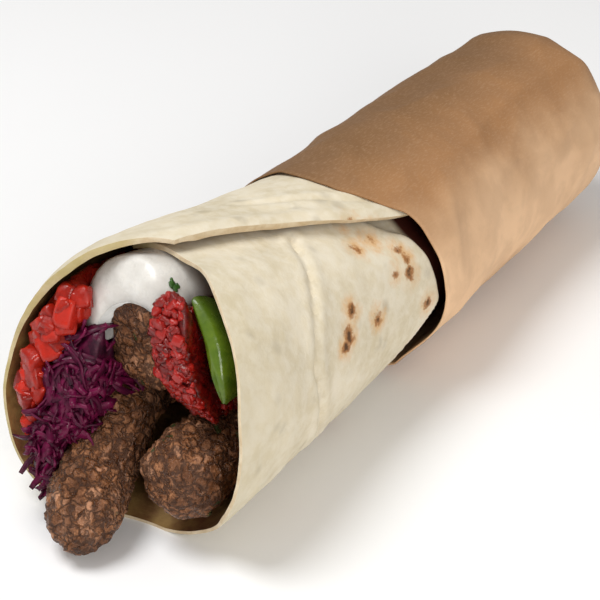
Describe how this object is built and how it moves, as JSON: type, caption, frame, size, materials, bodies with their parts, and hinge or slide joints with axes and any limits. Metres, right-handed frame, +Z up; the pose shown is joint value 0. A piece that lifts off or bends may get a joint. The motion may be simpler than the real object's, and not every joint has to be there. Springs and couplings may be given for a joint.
{
  "type": "kebab wrap",
  "caption": "Kebab wrap lying on its side: flatbread rolled round koftas, cabbage, tomato and sauces, its closed tail in a plain brown paper sleeve.",
  "frame": {"origin": "middle of the whole wrap's box, on the surface that it lies on", "axes": "+Z up, +Y along the roll from the open mouth towards the paper's closed tail, +X to the right of someone who looks into the mouth from the front"},
  "size_m": [0.0749, 0.2304, 0.0739],
  "materials": {
    "flatbread": "matt baked dough with brown spots",
    "paper_sleeve": "matt brown wrapping paper",
    "meat": "grilled minced meat, slightly greasy",
    "cabbage": "moist shredded red cabbage",
    "tomato": "moist diced tomato",
    "relish": "chunky glossy pepper and tomato relish",
    "yogurt": "smooth wet sauce",
    "pepper_strip": "moist green pepper skin"
  },
  "bodies": {
    "root": {"flatbread": "flatbread", "paper_sleeve": "paper_sleeve", "kofta_left": "meat", "kofta_right": "meat", "kofta_upper": "meat", "cabbage": "cabbage", "tomato": "tomato", "relish": "relish", "yogurt": "yogurt", "pepper_strip": "pepper_strip"}
  },
  "joints": []
}
